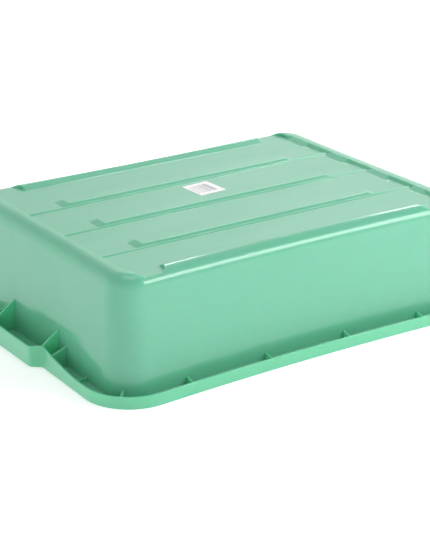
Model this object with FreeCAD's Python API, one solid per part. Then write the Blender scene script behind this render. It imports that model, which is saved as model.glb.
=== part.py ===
import FreeCAD, Part
import math
import os

# Toddler sandbox, lying mouth down: a thin-walled moulded tub with a ribbed base, a rim with a
# turned-back lip and a grip at each short end, a drop-in cover seated in the rim, and a paper
# sticker on the base. Millimetres. +X runs along the length, +Z is up, and the origin is the
# middle of the mouth, on the surface that the rim stands on.

# ---- Tub shell ----
HEIGHT = 216.0               # mouth to the highest part of the base
WALL = 3.0                   # moulded wall thickness
DRAFT = 0.069                 # how far a wall leans out for each millimetre towards the mouth
BASE_HALF_LENGTH = 377.7     # middle of an end wall, carried up to HEIGHT
BASE_HALF_WIDTH = 271.6      # middle of a long wall, carried up to HEIGHT
BASE_CORNER = 46.0           # plan radius of the corners at the base
MOUTH_CORNER = 58.0          # plan radius of the corners at the mouth
BASE_BOW_SIDE = 10.0         # long walls curve in by this much from corner to middle
MOUTH_BOW_SIDE = 16.0
BASE_BOW_END = 3.0           # and the end walls by this much
MOUTH_BOW_END = 5.0
EDGE_RADIUS = 24.0           # where the walls turn into the base

# ---- Rim, lip and grips ----
RIM_HALF_LENGTH = 424.0
RIM_HALF_WIDTH = 319.0
RIM_CORNER = 90.0
LIP = 3.6                    # thickness of the lip
FLANGE_UNDER = 3.2           # depth of the recess that the cover drops into
FLANGE = 3.0                 # thickness of the flange between wall and lip
GRIP_HALF_LENGTH = 70.0      # grip at each end, measured along Y
GRIP_OUT = 442.0             # outer face of the grip
GRIP_FLARE = 14.0            # the grip widens by this much before it meets the rim
# distance from the middle of an end and height of the lip there: level round the corners and
# long sides, rising to a knuckle at each end of a grip, and a little lower along the grip
LIP_RISE = ((205.0, 22.0), (148.0, 28.0), (113.0, 34.0), (82.0, 40.0), (62.0, 37.0))
GRIP_ROUND = 10.0

# ---- Gussets between wall and lip ----
GUSSET = 2.6                 # plate thickness
SIDE_GUSSETS = (-256.0, -87.0, 87.0, 256.0)
SIDE_GUSSET_TOP = 19.0
# distance from the middle of an end wall, height at the wall, height at the lip
END_GUSSETS = ((83.0, 65.0, 41.0), (112.0, 43.0, 31.0), (188.0, 14.0, 10.0))

# ---- Relief of the base ----
PANEL_DEPTH = 6.5            # panels lie this far under the rails and end borders
POCKET_HALF_LENGTH = 341.5
POCKET_HALF_WIDTH = 238.0
POCKET_SLOPE_END = 5.0
POCKET_SLOPE_SIDE = 15.0
POCKET_CORNER = 18.0
RAIL_HALF_LENGTH = 277.0     # rails along the long edges stop short of the corners
RIB_PITCH = 130.0
RIB_COUNT = 3
RIB_HEIGHT = 4.6
RIB_HALF_LENGTH = 251.0
RIB_HALF_WIDTH = 14.6
RIB_SLOPE = 8.6
RIB_END_SLOPE = 15.0
SEAM_WIDTH = 2.6             # low seam that runs the whole length at one foot of each rib
SEAM_HEIGHT = 1.8
SEAM_SLOPE = 3.0
NOTCH_OUT = 276.0            # the open corners of the base reach this far along Y
NOTCH_CORNER = 28.0
TAB_REACH = 15.0             # parts of the +X border's wall lean in this far, between the seams
TAB_SHARE = 0.48             # share of the strip between two seams that leans
TAB_GAP = 5.0
TAB_SLOPE = 9.0
CREASE = 1.4                 # rounding of the ribs' top edges
CREST_ROUND = 0.8            # rounding where the pocket meets the rails and end borders

# ---- Cover ----
COVER = 2.6                  # sheet thickness
COVER_GAP = 1.4              # clearance to the lip all round
PLUG_HEIGHT = 19.0           # how far the cover's raised middle reaches into the mouth
PLUG_GAP = 5.0
PLUG_ROUND = 7.0
COVER_RIB_HEIGHT = 4.0

# ---- Sticker ----
STICKER_LENGTH = 59.0
STICKER_WIDTH = 64.0
STICKER = 0.2
STICKER_X = 12.7
STICKER_Y = 59.8
STICKER_TURN = 3.0           # degrees

PANEL_TOP = HEIGHT - PANEL_DEPTH
CHANNEL_FLOOR = FLANGE_UNDER + FLANGE
OVER = 2.0                   # how far cutting shapes stand past what they cut


def circles_meet(first, first_radius, second, second_radius):
    """The crossing of two circles that lies nearest to the middle of the object."""
    span = second - first
    distance = span.Length
    along = (distance ** 2 + first_radius ** 2 - second_radius ** 2) / (2 * distance)
    aside = math.sqrt(first_radius ** 2 - along ** 2)
    unit = span / distance
    normal = FreeCAD.Vector(-unit.y, unit.x, 0)
    crossings = [first + unit * along + normal * aside, first + unit * along - normal * aside]
    return min(crossings, key=lambda point: point.Length)


def corner_points(half_length, half_width, radius, bow_end, bow_side):
    """Centre of the corner arc in the quadrant +X +Y, and the arc's start, middle and end."""
    end_span = half_width + bow_side
    side_span = half_length + bow_end
    end_radius = (end_span ** 2 + bow_end ** 2) / (2 * bow_end)
    side_radius = (side_span ** 2 + bow_side ** 2) / (2 * bow_side)
    end_centre = FreeCAD.Vector(half_length + end_radius, 0, 0)
    side_centre = FreeCAD.Vector(0, half_width + side_radius, 0)
    centre = circles_meet(end_centre, end_radius + radius, side_centre, side_radius + radius)
    start = centre + (end_centre - centre).normalize() * radius
    end = centre + (side_centre - centre).normalize() * radius
    middle = centre + ((start + end) * 0.5 - centre).normalize() * radius
    return centre, start, middle, end


def outline(half_length, half_width, radius, bow_end, bow_side, z):
    """Closed outline at height z: four bowed sides joined by four tangent corner arcs."""
    quarter = corner_points(half_length, half_width, radius, bow_end, bow_side)[1:]
    flips = ((1, 1), (-1, 1), (-1, -1), (1, -1))
    corners = []
    for index, (flip_x, flip_y) in enumerate(flips):
        points = [FreeCAD.Vector(p.x * flip_x, p.y * flip_y, z) for p in quarter]
        corners.append(points if index % 2 == 0 else points[::-1])
    middles = ((0, half_width), (-half_length, 0), (0, -half_width), (half_length, 0))
    edges = []
    for index, (middle_x, middle_y) in enumerate(middles):
        corner = corners[index]
        next_start = corners[(index + 1) % 4][0]
        middle = FreeCAD.Vector(middle_x, middle_y, z)
        edges.append(Part.Arc(*corner).toShape())
        edges.append(Part.Arc(corner[2], middle, next_start).toShape())
    return Part.Wire(edges)


def between(low, high, z):
    """A value that is low at the mouth and high at the base, at height z."""
    return low + (high - low) * z / HEIGHT


def wall_outline(z, inset=0.0):
    """Outline of the tub's wall at height z, inset mm inside its outer face."""
    return outline(
        BASE_HALF_LENGTH + DRAFT * (HEIGHT - z) - inset,
        BASE_HALF_WIDTH + DRAFT * (HEIGHT - z) - inset,
        between(MOUTH_CORNER, BASE_CORNER, z) - inset,
        between(MOUTH_BOW_END, BASE_BOW_END, z),
        between(MOUTH_BOW_SIDE, BASE_BOW_SIDE, z),
        z,
    )


def rim_outline(z, inset=0.0):
    """Outline of the rim without its grips, inset mm inside the lip's outer face."""
    return outline(RIM_HALF_LENGTH - inset, RIM_HALF_WIDTH - inset, RIM_CORNER - inset,
                   MOUTH_BOW_END, MOUTH_BOW_SIDE, z)


def prism(wire, height):
    """The wire filled and raised by height."""
    return Part.Face(wire).extrude(FreeCAD.Vector(0, 0, height))


def polygon_prism(points, direction):
    """A closed polygon of points, extruded along direction."""
    return Part.Face(Part.makePolygon(points + points[:1])).extrude(direction)


def drafted(low_wire, high_wire):
    """Straight-sided solid between two outlines of the same make."""
    return Part.makeLoft([low_wire, high_wire], True, True)


def edges_at(shape, z):
    """Edges that lie wholly at height z."""
    found = []
    for edge in shape.Edges:
        box = edge.BoundBox
        if abs(box.ZMin - z) < 0.01 and abs(box.ZMax - z) < 0.01:
            found.append(edge)
    return found


def rounded_box(x_low, x_high, y_low, y_high, radius, z):
    """Rounded rectangle as a wire at height z."""
    plate = Part.makeBox(x_high - x_low, y_high - y_low, 1, FreeCAD.Vector(x_low, y_low, z))
    uprights = [edge for edge in plate.Edges if edge.BoundBox.ZLength > 0.5]
    plate = plate.makeFillet(radius, uprights)
    bottom = min(plate.Faces, key=lambda face: face.CenterOfMass.z)
    return bottom.OuterWire


def bar(x_low, x_high, y_low, y_high, z, height, slope_x, slope_y, radius, crease=0.0):
    """Raised bar with the given top rectangle, whose four sides slope out to its foot."""
    foot = rounded_box(x_low - slope_x, x_high + slope_x, y_low - slope_y, y_high + slope_y,
                       radius + min(slope_x, slope_y), z)
    top = rounded_box(x_low, x_high, y_low, y_high, radius, z + height)
    solid = drafted(foot, top)
    if crease > 0:
        solid = solid.makeFillet(crease, edges_at(solid, z + height))
    return solid


def rib_centres():
    """Places of the ribs along Y."""
    first = -RIB_PITCH * (RIB_COUNT - 1) / 2
    return [first + RIB_PITCH * index for index in range(RIB_COUNT)]


def seam_lines():
    """Places of the seams along Y: each lies at the -Y foot of a rib."""
    return [centre - RIB_HALF_WIDTH - RIB_SLOPE for centre in rib_centres()]


def ribs(grow, drop, crease):
    """The ribs and leaning border walls that stand on the panels, grow mm slimmer."""
    floor = PANEL_TOP - drop
    bars = []
    for centre in rib_centres():
        half_width = RIB_HALF_WIDTH - grow
        half_length = RIB_HALF_LENGTH - grow
        bars.append(bar(-half_length, half_length, centre - half_width, centre + half_width,
                        floor, RIB_HEIGHT, RIB_END_SLOPE, RIB_SLOPE, 4.0, crease))
    crest = POCKET_HALF_LENGTH + POCKET_SLOPE_END + 0.5 + grow
    strip_edges = [-POCKET_HALF_WIDTH] + seam_lines() + [POCKET_HALF_WIDTH]
    for low, high in zip(strip_edges[:-1], strip_edges[1:]):
        bars.append(bar(crest, crest + EDGE_RADIUS,
                        high - TAB_GAP - TAB_SHARE * (high - low) + grow,
                        high - TAB_GAP - TAB_SLOPE - grow, floor, PANEL_DEPTH,
                        TAB_REACH, TAB_SLOPE, 4.0))
    return bars


def seams():
    """Low seams that cross the panels from border to border."""
    half_length = POCKET_HALF_LENGTH + 1
    half_width = SEAM_WIDTH / 2
    return [bar(-half_length, half_length, line - half_width, line + half_width,
                PANEL_TOP, SEAM_HEIGHT, 2.0, SEAM_SLOPE, 1.0)
            for line in seam_lines()]


def base_pocket(grow, drop):
    """Everything above the panels: the sunken middle and the four open corners of the base."""
    floor = PANEL_TOP - drop
    rise = PANEL_DEPTH + OVER
    reach = rise / PANEL_DEPTH
    half_length = POCKET_HALF_LENGTH + grow
    half_width = POCKET_HALF_WIDTH + grow
    slope_end = POCKET_SLOPE_END * reach
    slope_side = POCKET_SLOPE_SIDE * reach
    foot = rounded_box(-half_length, half_length, -half_width, half_width, POCKET_CORNER, floor)
    top = rounded_box(-half_length - slope_end, half_length + slope_end,
                      -half_width - slope_side, half_width + slope_side,
                      POCKET_CORNER + slope_end, floor + rise)
    pocket = drafted(foot, top)
    for side_x in (-1, 1):
        for side_y in (-1, 1):
            x_ends = sorted((side_x * (RAIL_HALF_LENGTH - grow), side_x * half_length))
            y_ends = sorted((side_y * POCKET_HALF_WIDTH / 2, side_y * (NOTCH_OUT + grow)))
            notch = prism(rounded_box(*x_ends, *y_ends, NOTCH_CORNER, floor), rise)
            pocket = pocket.fuse(notch)
    return pocket


def relief(grow, drop, crease):
    """Space above the base's surface: the pocket less the ribs and tabs that stand in it."""
    space = base_pocket(grow, drop)
    return space.cut(Part.makeCompound(ribs(grow, drop, crease)))


def crest_edges(body):
    """Long edges of the body where the pocket's walls meet the rails and end borders."""
    found = []
    for edge in body.Edges:
        box = edge.BoundBox
        centre = edge.CenterOfMass
        at_end = abs(abs(centre.x) - POCKET_HALF_LENGTH - POCKET_SLOPE_END) < 0.5
        at_side = abs(abs(centre.y) - POCKET_HALF_WIDTH - POCKET_SLOPE_SIDE) < 0.8
        long_enough = edge.Length > (100 if at_end else 30)
        if box.ZMin > HEIGHT - 3 and (at_end or at_side) and long_enough:
            found.append(edge)
    return found


def grip_bump(side, inset, z, height):
    """The grip's share of the rim's plan, inset mm inside its outer face."""
    squeeze = 0.45 * inset
    far = GRIP_HALF_LENGTH - squeeze
    near = far + GRIP_FLARE
    deep = BASE_HALF_LENGTH
    shoulder = RIM_HALF_LENGTH - inset
    out = GRIP_OUT - inset
    plan = ((deep, -near), (shoulder, -near), (out, -far), (out, far), (shoulder, near), (deep, near))
    points = [FreeCAD.Vector(side * x, y, z) for x, y in plan]
    return polygon_prism(points, FreeCAD.Vector(0, 0, height))


def rim_block(inset, z, height):
    """Solid of the rim's full plan with both grips, and rounded where grip and rim meet."""
    block = prism(rim_outline(z, inset), height)
    for side in (-1, 1):
        block = block.fuse(grip_bump(side, inset, z, height))
    block = block.removeSplitter()
    joints = []
    for edge in block.Edges:
        box = edge.BoundBox
        at_grip = GRIP_HALF_LENGTH - 12 < abs(box.Center.y) < GRIP_HALF_LENGTH + GRIP_FLARE + 12
        if box.ZLength > height / 2 and box.XLength < 0.1 and at_grip:
            joints.append(edge)
    return block.makeFillet(GRIP_ROUND, joints)


def lip_envelope():
    """Space under the lip's top edge, which rises from the corners to a knuckle at each grip."""
    far = RIM_HALF_WIDTH + 60
    half = RIM_HALF_LENGTH + 60
    level = LIP_RISE[0][1]
    curves = []
    for side in (-1, 1):
        curve = Part.BSplineCurve()
        curve.interpolate([FreeCAD.Vector(-half, side * y, z) for y, z in LIP_RISE])
        curves.append(curve.toShape())
    left, right = (curve.Vertexes for curve in curves)
    corners = [FreeCAD.Vector(-half, y, z) for y, z in
               ((far, level), (far, -1), (-far, -1), (-far, level))]
    outer = [right[0].Point] + corners + [left[0].Point]
    lines = [Part.LineSegment(start, end).toShape() for start, end in zip(outer[:-1], outer[1:])]
    lines.append(Part.LineSegment(left[1].Point, right[1].Point).toShape())
    face = Part.Face(Part.Wire(Part.__sortEdges__(curves + lines)))
    return face.extrude(FreeCAD.Vector(2 * half, 0, 0))


def lip():
    """The band that stands up round the rim."""
    height = max(z for y, z in LIP_RISE) + OVER
    ring = rim_block(0, 0, height).cut(rim_block(LIP, -1, height + 2))
    return ring.common(lip_envelope())


def gusset(origin, angle, wall, reach, wall_top, lip_top):
    """Upright plate that leans on the wall and slopes down to the lip.

    origin is a point on the plate's line, angle its direction in plan, and wall and reach are
    the distances from origin to the wall's foot and to the lip.
    """
    wall_face = wall - DRAFT * wall_top
    fall = (wall_top - lip_top) / (reach - wall_face)
    root = wall_face - 12
    profile = ((root, FLANGE_UNDER + 1), (root, wall_top + 12 * fall),
               (wall_face, wall_top), (reach, lip_top), (reach, FLANGE_UNDER + 1))
    points = [FreeCAD.Vector(d, -GUSSET / 2, z) for d, z in profile]
    plate = polygon_prism(points, FreeCAD.Vector(0, GUSSET, 0))
    plate.rotate(FreeCAD.Vector(0, 0, 0), FreeCAD.Vector(0, 0, 1), angle)
    plate.translate(origin)
    return plate


def bowed(half, bow, span, place):
    """Half width of a bowed side, at a place along it."""
    return half + bow * (place / span) ** 2


def gussets():
    """All gussets: along the long walls, at the corners and along the end walls and grips."""
    foot_length = BASE_HALF_LENGTH + DRAFT * HEIGHT
    foot_width = BASE_HALF_WIDTH + DRAFT * HEIGHT
    inside_lip = LIP / 2
    plates = []
    for place in SIDE_GUSSETS:
        wall = bowed(foot_width, MOUTH_BOW_SIDE, foot_length, place)
        reach = bowed(RIM_HALF_WIDTH, MOUTH_BOW_SIDE, RIM_HALF_LENGTH, place) - inside_lip
        for angle in (90, -90):
            plates.append(gusset(FreeCAD.Vector(place, 0, 0), angle, wall, reach,
                                 SIDE_GUSSET_TOP, CHANNEL_FLOOR + 4))
    for place, wall_top, lip_top in END_GUSSETS:
        wall = bowed(foot_length, MOUTH_BOW_END, foot_width, place)
        if place < GRIP_HALF_LENGTH:
            reach = GRIP_OUT - inside_lip
        else:
            reach = bowed(RIM_HALF_LENGTH, MOUTH_BOW_END, RIM_HALF_WIDTH, place) - inside_lip
        for side in (-1, 1):
            for angle in (0, 180):
                plates.append(gusset(FreeCAD.Vector(0, side * place, 0), angle, wall, reach,
                                     wall_top, lip_top))
    centre = corner_points(foot_length, foot_width, MOUTH_CORNER, MOUTH_BOW_END, MOUTH_BOW_SIDE)[0]
    rim_centre = corner_points(RIM_HALF_LENGTH, RIM_HALF_WIDTH, RIM_CORNER,
                               MOUTH_BOW_END, MOUTH_BOW_SIDE)[0]
    diagonal = FreeCAD.Vector(1, 1, 0).normalize()
    offset = rim_centre - centre
    along = offset.dot(diagonal)
    aside = (offset - diagonal * along).Length
    reach = along + math.sqrt(RIM_CORNER ** 2 - aside ** 2) - inside_lip
    for quarter, (flip_x, flip_y) in enumerate(((1, 1), (-1, 1), (-1, -1), (1, -1))):
        origin = FreeCAD.Vector(centre.x * flip_x, centre.y * flip_y, 0)
        plates.append(gusset(origin, 45 + 90 * quarter, MOUTH_CORNER, reach,
                             SIDE_GUSSET_TOP, CHANNEL_FLOOR + 4))
    return plates


def shell(inset, low, high, radius):
    """The tub's body between two heights with a rounded base edge, inset mm inside."""
    body = drafted(wall_outline(low, inset), wall_outline(high, inset))
    return body.makeFillet(radius, edges_at(body, high))


def tub():
    """The moulded tub in one piece."""
    outside = shell(0, 0, HEIGHT, EDGE_RADIUS)
    outside = outside.cut(relief(0, 0, CREASE))
    outside = outside.makeFillet(CREST_ROUND, crest_edges(outside))
    outside = outside.fuse(seams())
    flange = rim_block(LIP / 2, 0, CHANNEL_FLOOR)
    outside = outside.fuse([flange, lip()] + gussets())
    cavity = shell(WALL, -OVER, HEIGHT - WALL, EDGE_RADIUS - WALL)
    cavity = cavity.cut(relief(WALL * 0.7, WALL, 0.0))
    recess = rim_block(LIP, -OVER, FLANGE_UNDER + OVER)
    return outside.cut(recess).cut(cavity).removeSplitter()


def cover():
    """Drop-in cover: a flat edge band round a raised, ribbed middle that plugs the mouth."""
    inset = LIP + COVER_GAP
    band = prism(rim_outline(0, inset), COVER)
    plug_inset = WALL + PLUG_GAP
    middle = drafted(wall_outline(0, plug_inset), wall_outline(PLUG_HEIGHT, plug_inset))
    middle = middle.makeFillet(PLUG_ROUND, edges_at(middle, PLUG_HEIGHT))
    hollow = drafted(wall_outline(-OVER, plug_inset + COVER),
                     wall_outline(PLUG_HEIGHT - COVER, plug_inset + COVER))
    hollow = hollow.makeFillet(PLUG_ROUND - COVER, edges_at(hollow, PLUG_HEIGHT - COVER))
    stiffeners = []
    grooves = []
    for centre in rib_centres():
        half_width = RIB_HALF_WIDTH
        inner_width = half_width - COVER * 0.7
        inner_length = RIB_HALF_LENGTH - COVER * 0.7
        stiffeners.append(bar(-RIB_HALF_LENGTH, RIB_HALF_LENGTH, centre - half_width,
                              centre + half_width, PLUG_HEIGHT, COVER_RIB_HEIGHT,
                              RIB_END_SLOPE, RIB_SLOPE, 4.0, CREASE))
        grooves.append(bar(-inner_length, inner_length, centre - inner_width, centre + inner_width,
                           PLUG_HEIGHT - COVER, COVER_RIB_HEIGHT, RIB_END_SLOPE, RIB_SLOPE,
                           4.0))
    sheet = band.fuse([middle] + stiffeners)
    return sheet.cut([hollow] + grooves).removeSplitter()


def sticker():
    """Blank paper sticker, lying flat on the panel beside the middle rib."""
    half_length = STICKER_LENGTH / 2
    half_width = STICKER_WIDTH / 2
    sheet = prism(rounded_box(-half_length, half_length, -half_width, half_width, 2.0, 0), STICKER)
    sheet.rotate(FreeCAD.Vector(0, 0, 0), FreeCAD.Vector(0, 0, 1), STICKER_TURN)
    sheet.translate(FreeCAD.Vector(STICKER_X, STICKER_Y, PANEL_TOP))
    return sheet


def only_solid(name, shape):
    """The one solid that a finished piece must be."""
    solids = shape.Solids
    if len(solids) != 1 or not solids[0].isValid():
        raise RuntimeError(name + ": " + str(len(solids)) + " solids, or not valid")
    return solids[0]


PIECES = {"tub": tub, "cover": cover, "sticker": sticker}

os.makedirs("parts", exist_ok=True)
for piece_name, make in PIECES.items():
    piece = only_solid(piece_name, make())
    piece.exportStep("parts/" + piece_name + ".step")
    size = piece.BoundBox
    print(piece_name, "volume", round(piece.Volume / 1000), "cm3, box",
          [round(v, 2) for v in (size.XMin, size.YMin, size.ZMin, size.XMax, size.YMax, size.ZMax)])
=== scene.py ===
"""Look of the toddler sandbox: a mint polypropylene tub lying mouth down over its drop-in cover,
with a paper label on the base, on a pale table under soft studio light. Metres throughout.
"""
import math

import bpy
from mathutils import Euler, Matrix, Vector


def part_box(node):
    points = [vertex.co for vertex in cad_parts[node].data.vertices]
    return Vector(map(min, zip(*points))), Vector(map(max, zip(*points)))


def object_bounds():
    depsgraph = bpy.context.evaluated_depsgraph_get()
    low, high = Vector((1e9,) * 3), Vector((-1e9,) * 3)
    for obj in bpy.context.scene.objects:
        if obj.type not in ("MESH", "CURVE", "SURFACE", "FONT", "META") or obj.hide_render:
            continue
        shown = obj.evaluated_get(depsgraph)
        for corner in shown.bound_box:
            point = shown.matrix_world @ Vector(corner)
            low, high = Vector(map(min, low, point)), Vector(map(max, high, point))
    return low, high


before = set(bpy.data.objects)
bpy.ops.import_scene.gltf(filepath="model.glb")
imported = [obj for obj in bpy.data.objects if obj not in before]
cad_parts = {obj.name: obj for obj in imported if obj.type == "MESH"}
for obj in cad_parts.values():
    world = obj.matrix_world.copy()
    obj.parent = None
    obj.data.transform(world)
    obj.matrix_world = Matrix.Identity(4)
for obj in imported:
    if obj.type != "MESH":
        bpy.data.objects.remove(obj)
box_at_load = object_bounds()
LOW, HIGH = (Vector(corner) for corner in box_at_load)

MM = 0.001

# Real sizes of the plastic's patterns.
GRAIN = 0.9 * MM             # etched grain, drawn coarser than the usual 0.2 mm so that it shows
PEEL = 14 * MM               # slow waviness of a moulded wall
FLOW = 110 * MM              # patches left by the flow of the melt
FLOW_ALONG = 0.45            # scale of the patches along the tub, below 1 to draw them out
SCUFF_LENGTH = 50 * MM       # along the tub
SCUFF_WIDTH = SCUFF_LENGTH / 14
SCUFF_TURN = 0.6             # radians that turn the scuffs' noise off its own grid
EDGE = 2.6 * MM              # radius that small edges are shaded with
GLOW_DEPTH = 18 * MM         # how far green light wanders in the plastic, red and blue less

# The plastic's colour, and the deeper one of its flow patches.
MINT = "#68C29B"
DEEP_MINT = "#5EBA91"

# Print and paper of the label. Places are measured from its middle.
LABEL_TURN = math.radians(3)
BAR_PITCH = 4.2 * MM
BAR_SHARE = (0.35, 0.90)     # least and most of the pitch that a bar takes
BARS_ALONG = (-16 * MM, 21 * MM)
BARS_ACROSS = (-21 * MM, 21 * MM)
ROW_PITCH = 4.2 * MM
ROW_SHARE = (0.35, 0.75)     # part of the pitch that a row takes
ROWS_ALONG = (-25.5 * MM, -19.5 * MM)
ROWS_ACROSS = (-19 * MM, 15 * MM)
FIBRE = 0.6 * MM             # paper fibres, drawn coarser than real to show

TABLE_HALF = 6.0
TABLE_GAP = 0.2 * MM         # keeps the table's face clear of the cover's underside
TABLE_TONE = 0.4             # size of the laminate's faint patches

LIGHT_AIM = 0.1              # height that the lights face


def colour(code):
    """Linear RGBA of an sRGB hex code."""
    values = [int(code[i:i + 2], 16) / 255 for i in (1, 3, 5)]
    linear = [v / 12.92 if v <= 0.04045 else ((v + 0.055) / 1.055) ** 2.4 for v in values]
    return (*linear, 1.0)


def add(tree, kind, inputs=None, **settings):
    """A new node. inputs maps each socket to a value, or to the socket that feeds it."""
    node = tree.nodes.new("ShaderNode" + kind)
    for name, value in settings.items():
        setattr(node, name, value)
    for socket, value in (inputs or {}).items():
        if isinstance(value, bpy.types.NodeSocket):
            tree.links.new(value, node.inputs[socket])
        else:
            node.inputs[socket].default_value = value
    return node


def blank_material(name):
    """A material with an empty node tree and its output node."""
    material = bpy.data.materials.new(name)
    material.use_nodes = True
    material.node_tree.nodes.clear()
    return material, add(material.node_tree, "OutputMaterial")


def dress(node, material):
    """Gives a CAD node its material."""
    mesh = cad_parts[node].data
    mesh.materials.clear()
    mesh.materials.append(material)


# ---- Materials ----
def moulded_polypropylene(name, tint, deep, shift):
    """Semi-gloss polypropylene, injection moulded in a lightly etched mould.

    The eye sees a wide soft sheen from the grain, a thin clear gloss over it, and light that
    wanders inside, so that edges and thin parts glow green. tint and deep are the two colours
    that its patches lie between, and shift moves the patterns of one piece off the other's.
    """
    material, output = blank_material(name)
    tree = material.node_tree
    place = add(tree, "TexCoord").outputs["Object"]
    shifted = add(tree, "Mapping", {"Vector": place, "Location": (shift, 2 * shift, 3 * shift)})
    spot = shifted.outputs["Vector"]

    # colour: patches drawn out along the flow of the melt
    stretched = add(tree, "Mapping", {"Vector": spot, "Scale": (FLOW_ALONG, 1.0, 1.0)})
    flow = add(tree, "TexNoise", {"Vector": stretched.outputs["Vector"], "Scale": 1 / FLOW,
                                  "Detail": 3.0, "Roughness": 0.55, "Distortion": 0.6})
    patches = add(tree, "MapRange", {"Value": flow.outputs["Fac"], "From Min": 0.3,
                                     "From Max": 0.7, "To Min": 0.0, "To Max": 0.30})
    body = add(tree, "Mix", {"Factor": patches.outputs["Result"], "A": colour(tint),
                             "B": colour(deep)}, data_type="RGBA")

    # roughness: it follows the patches, and handling scuffs are duller thin lines
    scuff_place = add(tree, "Mapping", {
        "Vector": spot,
        "Rotation": (0.0, 0.0, SCUFF_TURN),
        "Scale": (1 / SCUFF_LENGTH, 1 / SCUFF_WIDTH, 1 / SCUFF_WIDTH),
    })
    scuffs = add(tree, "TexNoise", {"Vector": scuff_place.outputs["Vector"], "Scale": 1.0,
                                    "Detail": 4.0, "Roughness": 0.6})
    scuff_lines = add(tree, "MapRange", {"Value": scuffs.outputs["Fac"], "From Min": 0.62,
                                         "From Max": 0.75, "To Min": 0.0, "To Max": 0.10})
    sheen = add(tree, "MapRange", {"Value": flow.outputs["Fac"], "From Min": 0.3,
                                   "From Max": 0.7, "To Min": 0.42, "To Max": 0.50})
    roughness = add(tree, "Math", {0: sheen.outputs["Result"], 1: scuff_lines.outputs["Result"]},
                    operation="ADD")

    # relief: rounded small edges, slow waviness, then the etched grain
    rounded = add(tree, "Bevel", {"Radius": EDGE}, samples=4)
    peel = add(tree, "TexNoise", {"Vector": spot, "Scale": 1 / PEEL, "Detail": 1.0})
    waves = add(tree, "Bump", {"Height": peel.outputs["Fac"], "Strength": 0.25,
                               "Distance": 0.12 * MM, "Normal": rounded.outputs["Normal"]})
    grain = add(tree, "TexNoise", {"Vector": spot, "Scale": 1 / GRAIN, "Detail": 2.0,
                                   "Roughness": 0.6})
    relief = add(tree, "Bump", {"Height": grain.outputs["Fac"], "Strength": 0.12,
                                "Distance": 0.04 * MM, "Normal": waves.outputs["Normal"]})
    surface = add(tree, "BsdfPrincipled", {
        "Base Color": body.outputs["Result"],
        "Roughness": roughness.outputs["Value"],
        "IOR": 1.50,
        "Normal": relief.outputs["Normal"],
        "Subsurface Weight": 0.7,
        "Subsurface Radius": (0.30, 1.0, 0.55),
        "Subsurface Scale": GLOW_DEPTH,
        "Specular IOR Level": 0.35,
        "Coat Weight": 0.8,
        "Coat Roughness": 0.07,
        "Coat IOR": 1.55,
        "Coat Normal": relief.outputs["Normal"],
    })
    tree.links.new(surface.outputs["BSDF"], output.inputs["Surface"])
    return material


def coated_paper(name, low, high):
    """White coated label paper, smooth with a weak sheen, printed with plain grey bars and rows.

    low and high are the label's corners in the frame. The print says nothing.
    """
    material, output = blank_material(name)
    tree = material.node_tree
    place = add(tree, "TexCoord").outputs["Object"]
    local = add(tree, "Mapping", {"Vector": place, "Location": (low + high) / 2,
                                  "Rotation": (0.0, 0.0, LABEL_TURN)}, vector_type="TEXTURE")
    axes = add(tree, "SeparateXYZ", {"Vector": local.outputs["Vector"]})
    along = axes.outputs["X"]
    across = axes.outputs["Y"]

    def inside(*limits):
        """1 where every socket lies between its two ends, and 0 elsewhere."""
        mask = 1.0
        for socket, (start, end) in limits:
            above = add(tree, "Math", {0: socket, 1: start}, operation="GREATER_THAN")
            below = add(tree, "Math", {0: socket, 1: end}, operation="LESS_THAN")
            both = add(tree, "Math", {0: above.outputs["Value"], 1: below.outputs["Value"]},
                       operation="MULTIPLY")
            mask = add(tree, "Math", {0: mask, 1: both.outputs["Value"]},
                       operation="MULTIPLY").outputs["Value"]
        return mask

    # bars of random widths, one in each cell of the pitch
    cells = add(tree, "Math", {0: along, 1: 1 / BAR_PITCH}, operation="MULTIPLY")
    index = add(tree, "Math", {0: cells.outputs["Value"]}, operation="FLOOR")
    within = add(tree, "Math", {0: cells.outputs["Value"]}, operation="FRACT")
    random = add(tree, "TexWhiteNoise", {"W": index.outputs["Value"]}, noise_dimensions="1D")
    widths = add(tree, "MapRange", {"Value": random.outputs["Value"], "To Min": BAR_SHARE[0],
                                    "To Max": BAR_SHARE[1]})
    bars = add(tree, "Math", {0: within.outputs["Value"], 1: widths.outputs["Result"]},
               operation="LESS_THAN")
    block = add(tree, "Math", {0: bars.outputs["Value"],
                               1: inside((along, BARS_ALONG), (across, BARS_ACROSS))},
                operation="MULTIPLY")

    # a column of short rows beside the bars
    row_cells = add(tree, "Math", {0: across, 1: 1 / ROW_PITCH}, operation="MULTIPLY")
    row_part = add(tree, "Math", {0: row_cells.outputs["Value"]}, operation="FRACT")
    rows = inside((row_part.outputs["Value"], ROW_SHARE), (along, ROWS_ALONG),
                  (across, ROWS_ACROSS))

    ink = add(tree, "Math", {0: block.outputs["Value"], 1: rows}, operation="MAXIMUM")
    density = add(tree, "Math", {0: ink.outputs["Value"], 1: 0.72}, operation="MULTIPLY")
    sheet = add(tree, "Mix", {"Factor": density.outputs["Value"], "A": colour("#F4F3F4"),
                              "B": colour("#77757B")}, data_type="RGBA")
    fibres = add(tree, "TexNoise", {"Vector": place, "Scale": 1 / FIBRE, "Detail": 3.0})
    relief = add(tree, "Bump", {"Height": fibres.outputs["Fac"], "Strength": 0.15,
                                "Distance": 0.03 * MM})
    surface = add(tree, "BsdfPrincipled", {"Base Color": sheet.outputs["Result"],
                                           "Roughness": 0.42, "IOR": 1.46,
                                           "Normal": relief.outputs["Normal"]})
    tree.links.new(surface.outputs["BSDF"], output.inputs["Surface"])
    return material


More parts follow.
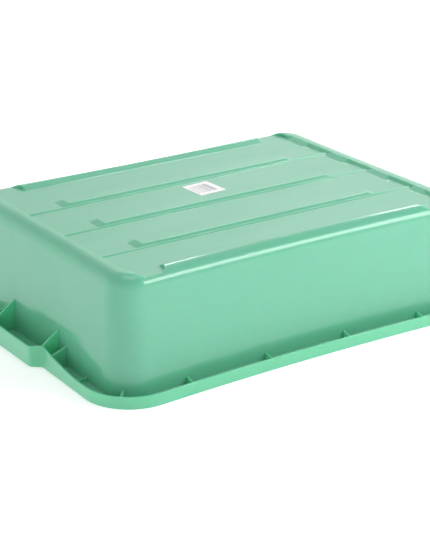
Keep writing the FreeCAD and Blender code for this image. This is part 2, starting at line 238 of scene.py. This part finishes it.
def glowing_laminate(name):
    """Matt white laminate that glows as if lit from below: painted light, a little brighter
    toward the front.

    The eye sees a clean white with hardly any reflection in it.
    """
    material, output = blank_material(name)
    tree = material.node_tree
    place = add(tree, "TexCoord").outputs["Object"]
    tone = add(tree, "TexNoise", {"Vector": place, "Scale": 1 / TABLE_TONE, "Detail": 2.0})
    pale = add(tree, "Mix", {"Factor": tone.outputs["Fac"], "A": colour("#FAFAFA"),
                             "B": colour("#F6F7F6")}, data_type="RGBA")
    # painted light: the laminate's own glow grows toward the front, a painted pool of light
    forward = add(tree, "VectorMath", {0: place, 1: (0.35, -0.94, 0.0)}, operation="DOT_PRODUCT")
    painted_glow = add(tree, "MapRange", {"Value": forward.outputs["Value"], "From Min": 0.0,
                                   "From Max": 0.5, "To Min": 0.34, "To Max": 0.48})
    surface = add(tree, "BsdfPrincipled", {
        "Base Color": pale.outputs["Result"],
        "Roughness": 0.75,
        "Specular IOR Level": 0.2,
        "Emission Color": colour("#FFFFFF"),
        "Emission Strength": painted_glow.outputs["Result"],
    })
    tree.links.new(surface.outputs["BSDF"], output.inputs["Surface"])
    return material


for piece, shift in (("tub", 0.37), ("cover", 1.91)):
    dress(piece, moulded_polypropylene(f"{piece}_semi_gloss_mint_polypropylene", MINT, DEEP_MINT,
                                       shift))
label_low, label_high = (Vector(corner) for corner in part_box("sticker"))
dress("sticker", coated_paper("label_coated_white_paper", label_low, label_high))

# ---- Table ----
mesh = bpy.data.meshes.new("table_top")
corners = [(x * TABLE_HALF, y * TABLE_HALF, 0) for x, y in ((-1, -1), (1, -1), (1, 1), (-1, 1))]
mesh.from_pydata(corners, [], [(0, 1, 2, 3)])
mesh.materials.append(glowing_laminate("table_matt_pale_laminate"))
table = bpy.data.objects.new("table_top", mesh)
table.location.z = LOW.z - TABLE_GAP
bpy.context.collection.objects.link(table)


# ---- Lights ----
def softbox(name, direction, distance, size, radiance):
    """White rectangular light of a given radiance, in a direction from the tub, facing it."""
    light = bpy.data.lights.new(name, "AREA")
    light.shape = "RECTANGLE"
    light.size, light.size_y = size
    light.energy = radiance * math.pi * size[0] * size[1]
    lamp = bpy.data.objects.new(name, light)
    aim = Vector((0, 0, LIGHT_AIM))
    lamp.location = aim + Vector(direction).normalized() * distance
    lamp.rotation_euler = (lamp.location - aim).to_track_quat("Z", "Y").to_euler()
    bpy.context.collection.objects.link(lamp)


# The first lights the long wall and draws the bright line along its upper edge, the second fills
# the base, and the third draws the thin lines along the crests of its ribs.
softbox("softbox_front_right", (0.52, -0.72, 0.42), 2.6, (1.3, 0.9), 7.5)
softbox("softbox_overhead", (-0.05, -0.05, 1.0), 2.6, (1.6, 1.6), 1.6)
softbox("strip_behind_right", (0.60, 0.56, 0.60), 3.0, (1.6, 0.45), 8.0)

# ---- Room ----
world = bpy.data.worlds.new("studio")
world.use_nodes = True
bpy.context.scene.world = world
sky = world.node_tree
sky.nodes.clear()
towards = add(sky, "TexCoord").outputs["Generated"]
axes = add(sky, "SeparateXYZ", {"Vector": towards})

# white walls that darken with height
walls = add(sky, "MapRange", {"Value": axes.outputs["Z"], "From Min": 0.08, "From Max": 0.70,
                              "To Min": 1.10, "To Max": 0.45})

# a faint glow low down behind the tub
backward = add(sky, "VectorMath", {0: towards, 1: (0.56, 0.83, 0.0)}, operation="DOT_PRODUCT")
glow_side = add(sky, "Math", {0: backward.outputs["Value"], 1: 0.0}, operation="MAXIMUM")
glow_spread = add(sky, "Math", {0: glow_side.outputs["Value"], 1: 2.0}, operation="POWER")
glow = add(sky, "MapRange", {"Value": axes.outputs["Z"], "From Min": 0.2, "From Max": 0.9,
                             "To Min": 0.05, "To Max": 0.0})
glowing = add(sky, "Math", {0: glow_spread.outputs["Value"], 1: glow.outputs["Result"],
                            2: walls.outputs["Result"]}, operation="MULTIPLY_ADD")

# dimmer toward the front, with a fill from the left
front_dim = add(sky, "MapRange", {"Value": axes.outputs["Y"], "From Min": -0.9, "From Max": 0.0,
                                  "To Min": 0.65, "To Max": 1.0})
leftward = add(sky, "VectorMath", {0: towards, 1: (-0.87, -0.50, 0.0)}, operation="DOT_PRODUCT")
left_fill = add(sky, "MapRange", {"Value": leftward.outputs["Value"], "From Min": 0.1,
                                  "From Max": 0.9, "To Min": 0.0, "To Max": 0.22})
room = add(sky, "Math", {0: glowing.outputs["Value"], 1: front_dim.outputs["Result"],
                         2: left_fill.outputs["Result"]}, operation="MULTIPLY_ADD")
lit = add(sky, "Background", {"Color": colour("#FFFFFF"), "Strength": room.outputs["Value"]})
sky.links.new(lit.outputs["Background"], add(sky, "OutputWorld").inputs["Surface"])

# ---- Camera: a long lens 3 m away and 1 m above the tub, looking down on one corner ----
LENS = 111.27
SENSOR = 36.0
CAMERA_X = -1.6591
CAMERA_Y = -2.4520
CAMERA_ABOVE_TUB = 1.0
LOOKING_DOWN = 21.216        # degrees below level
TURNED_RIGHT = 34.051        # degrees from the tub's width toward +X

camera = bpy.data.cameras.new("camera")
camera.lens = LENS
camera.sensor_width = SENSOR
camera.clip_end = 50.0
eye = bpy.data.objects.new("camera", camera)
eye.location = (CAMERA_X, CAMERA_Y, HIGH.z + CAMERA_ABOVE_TUB)
eye.rotation_euler = Euler((math.radians(90 - LOOKING_DOWN), 0.0, -math.radians(TURNED_RIGHT)))
bpy.context.collection.objects.link(eye)
bpy.context.scene.camera = eye
bpy.context.scene.view_settings.view_transform = "Standard"
